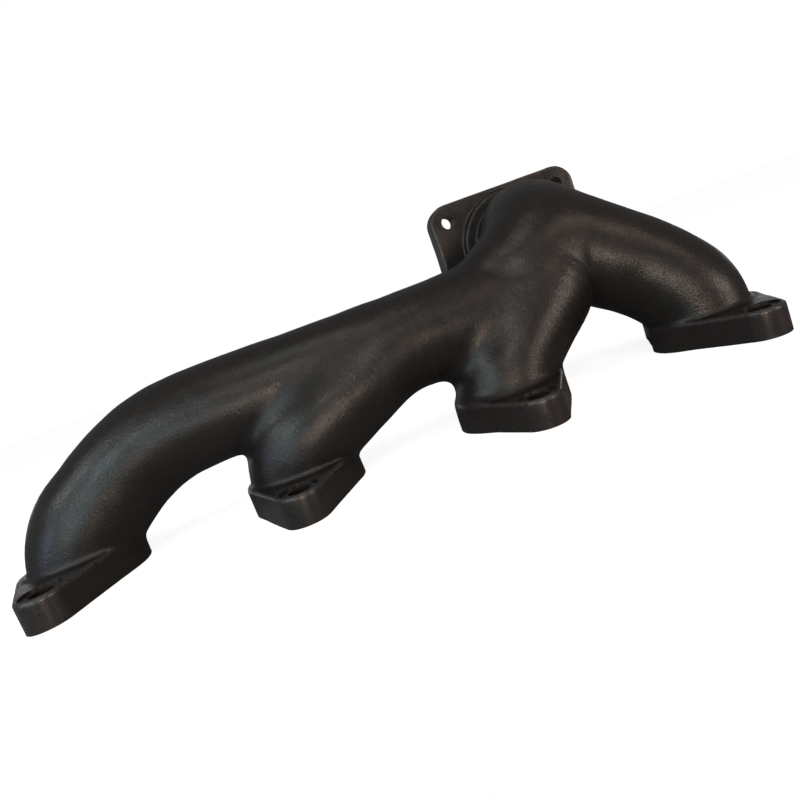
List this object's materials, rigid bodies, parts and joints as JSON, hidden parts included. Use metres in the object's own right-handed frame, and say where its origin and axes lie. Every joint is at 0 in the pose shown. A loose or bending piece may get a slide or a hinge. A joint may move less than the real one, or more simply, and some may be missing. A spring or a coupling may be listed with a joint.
{
  "type": "exhaust manifold",
  "caption": "Cast-iron exhaust manifold: a row of bolted oval port flanges, runners joining a log pipe and a domed collector, and an upright outlet flange for a turbocharger.",
  "frame": {"origin": "middle of the row of four ports, on the machined plane that bolts to the cylinder head", "axes": "+X along the row from port 1 to port 4, +Y out of the turbocharger flange, +Z away from the cylinder head"},
  "size_m": [0.4204, 0.1615, 0.128],
  "materials": {
    "casting": "dark brown-black sand-cast skin, satin, with fine grain and small pits",
    "flange": "dark cast edges, a little smoother and glossier, with machined mating faces"
  },
  "bodies": {
    "root": {"port_flange_1": "flange", "port_flange_2": "flange", "port_flange_3": "flange", "port_flange_4": "flange", "runner_1": "casting", "runner_2": "casting", "runner_3": "casting", "runner_4": "casting", "log_pipe": "casting", "collector": "casting", "turbo_neck": "casting", "turbo_flange": "flange"}
  },
  "joints": []
}
